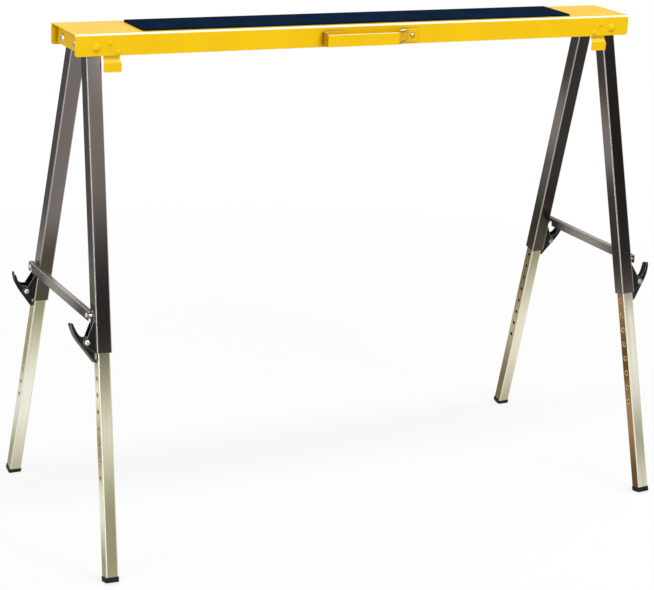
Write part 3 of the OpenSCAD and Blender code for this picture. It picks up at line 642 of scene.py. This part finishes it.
def mirrored_floor(tree, place):
    """The floor as the polished tubes show it."""
    parts = split(tree, place)
    colour = cards(tree, parts["Y"], FLOOR_CARDS)
    for limits, level in FLOOR_SHADES:
        shares = [ramp(tree, parts[axis], 0, 1, start, full) for axis, start, full in limits]
        inside = shares[0]
        for share in shares[1:]:
            inside = product(tree, inside, share)
        shade = tree.nodes.new("ShaderNodeVectorMath")
        shade.operation = "SCALE"
        tree.links.new(colour, shade.inputs[0])
        tree.links.new(ramp(tree, inside, 1, level), shade.inputs["Scale"])
        colour = shade.outputs["Vector"]
    return colour


def floor_material():
    """White paper with the object's soft shadow near it, and the studio's shades in mirrors."""
    material = bpy.data.materials.new("floor_paper")
    material.use_nodes = True
    tree = material.node_tree
    tree.nodes.clear()
    path = tree.nodes.new("ShaderNodeLightPath")
    paper = tree.nodes.new("ShaderNodeBsdfDiffuse")
    paper.inputs["Color"].default_value = PAPER
    white = tree.nodes.new("ShaderNodeEmission")
    mirrored = tree.nodes.new("ShaderNodeEmission")
    place = object_place(tree)
    tree.links.new(mirrored_floor(tree, place), mirrored.inputs["Color"])
    distance = tree.nodes.new("ShaderNodeVectorMath")
    distance.operation = "LENGTH"
    tree.links.new(place, distance.inputs[0])
    whiteness = ramp(tree, distance.outputs["Value"], SHADOW_SHARE, 1, SHADOW_NEAR, SHADOW_FAR)
    share = product(tree, path.outputs["Is Camera Ray"], whiteness)
    seen = mixed_shader(tree, share, paper.outputs["BSDF"], white.outputs["Emission"])
    surface = mixed_shader(tree, path.outputs["Is Glossy Ray"], seen, mirrored.outputs["Emission"])
    output = tree.nodes.new("ShaderNodeOutputMaterial")
    tree.links.new(surface, output.inputs["Surface"])
    return material


floor = plane("floor", FLOOR_SIZE, (0, 0, -FLOOR_GAP))
floor.data.materials.append(floor_material())


# Light

# Cards on the walls: colour, and the sines of the heights above the horizon at its start and end
LEFT_WALLS = [
    (GREY_CARD, 0.0, 0.05),
    (WHITE_CARD, 0.08, 0.09),
    (GREY_CARD, 0.11, 0.12),
    (BLACK_CARD, 0.125, 0.17),
    (WHITE_CARD, 0.21, 1.0),
]
RIGHT_WALLS = [
    (WHITE_CARD, 0.0, 0.015),
    (GREY_CARD, 0.03, 0.045),
    (WHITE_CARD, 0.065, 0.105),
    (BLACK_CARD, 0.115, 0.25),
    (WHITE_CARD, 0.275, 1.0),
]
# Part of the direction along the beam over which the left walls pass into the right ones
WALLS_TURN = (0.42, 0.52)
WORLD_LIGHT = 0.55
# Lamps: name, place, target, width and height in metres, and watts
LAMPS = [
    ("top_strip", (0.5, -0.4, 2.6), (0.5, -0.2, 0), 3.8, 0.3, 31),
    ("front_box", (1.4, -3.0, 2.2), (0, 0, 0.5), 1.0, 1.0, 26),
    ("left_strip", (-3.0, -1.6, 0.9), (0, 0, 0.5), 0.35, 2.0, 20),
    ("back_box", (-0.6, 3.2, 2.0), (0, 0, 0.5), 1.4, 1.2, 16),
]


def background(tree, strength=1.0):
    """A white background."""
    node = tree.nodes.new("ShaderNodeBackground")
    node.inputs["Color"].default_value = (1, 1, 1, 1)
    node.inputs["Strength"].default_value = strength
    return node


def make_world():
    """A white studio: plain white to the camera, shaded walls in mirrors, softer as a light."""
    world = bpy.data.worlds.new("studio")
    world.use_nodes = True
    bpy.context.scene.world = world
    tree = world.node_tree
    tree.nodes.clear()
    path = tree.nodes.new("ShaderNodeLightPath")
    parts = split(tree, tree.nodes.new("ShaderNodeTexCoord").outputs["Generated"])
    left = cards(tree, parts["Z"], LEFT_WALLS)
    right = cards(tree, parts["Z"], RIGHT_WALLS)
    shades = mixed(tree, ramp(tree, parts["X"], 0, 1, *WALLS_TURN), left, right)
    walls = background(tree)
    tree.links.new(shades, walls.inputs["Color"])
    light = background(tree, WORLD_LIGHT).outputs["Background"]
    white = background(tree).outputs["Background"]
    unseen = mixed_shader(tree, path.outputs["Is Glossy Ray"], light, walls.outputs["Background"])
    surface = mixed_shader(tree, path.outputs["Is Camera Ray"], unseen, white)
    output = tree.nodes.new("ShaderNodeOutputWorld")
    tree.links.new(surface, output.inputs["Surface"])


def soft_box(name, place, target, width, height, power):
    """A rectangular studio lamp that faces a target."""
    lamp = bpy.data.lights.new(name, "AREA")
    lamp.shape = "RECTANGLE"
    lamp.size = width
    lamp.size_y = height
    lamp.energy = power
    piece = bpy.data.objects.new(name, lamp)
    piece.location = place
    piece.rotation_euler = (Vector(target) - Vector(place)).to_track_quat("-Z", "Y").to_euler()
    bpy.context.scene.collection.objects.link(piece)


def make_camera():
    """The camera that the photograph was taken with."""
    yaw, pitch, roll = CAMERA_YAW, CAMERA_PITCH, CAMERA_ROLL
    ahead = Vector((math.sin(yaw) * math.cos(pitch), math.cos(yaw) * math.cos(pitch), -math.sin(pitch)))
    level = Vector((math.cos(yaw), -math.sin(yaw), 0))
    below = ahead.cross(level)
    across = level * math.cos(roll) + below * math.sin(roll)
    down = below * math.cos(roll) - level * math.sin(roll)
    turn = Matrix((across, -down, -ahead)).transposed().to_4x4()
    camera = bpy.data.objects.new("camera", bpy.data.cameras.new("camera"))
    camera.data.sensor_width = SENSOR_WIDTH
    camera.data.lens = FOCAL_PIXELS / IMAGE_WIDTH * SENSOR_WIDTH
    camera.matrix_world = Matrix.Translation(CAMERA_PLACE) @ turn
    bpy.context.scene.collection.objects.link(camera)
    bpy.context.scene.camera = camera


make_world()
for lamp_row in LAMPS:
    soft_box(*lamp_row)
make_camera()
bpy.context.scene.view_settings.view_transform = "Standard"
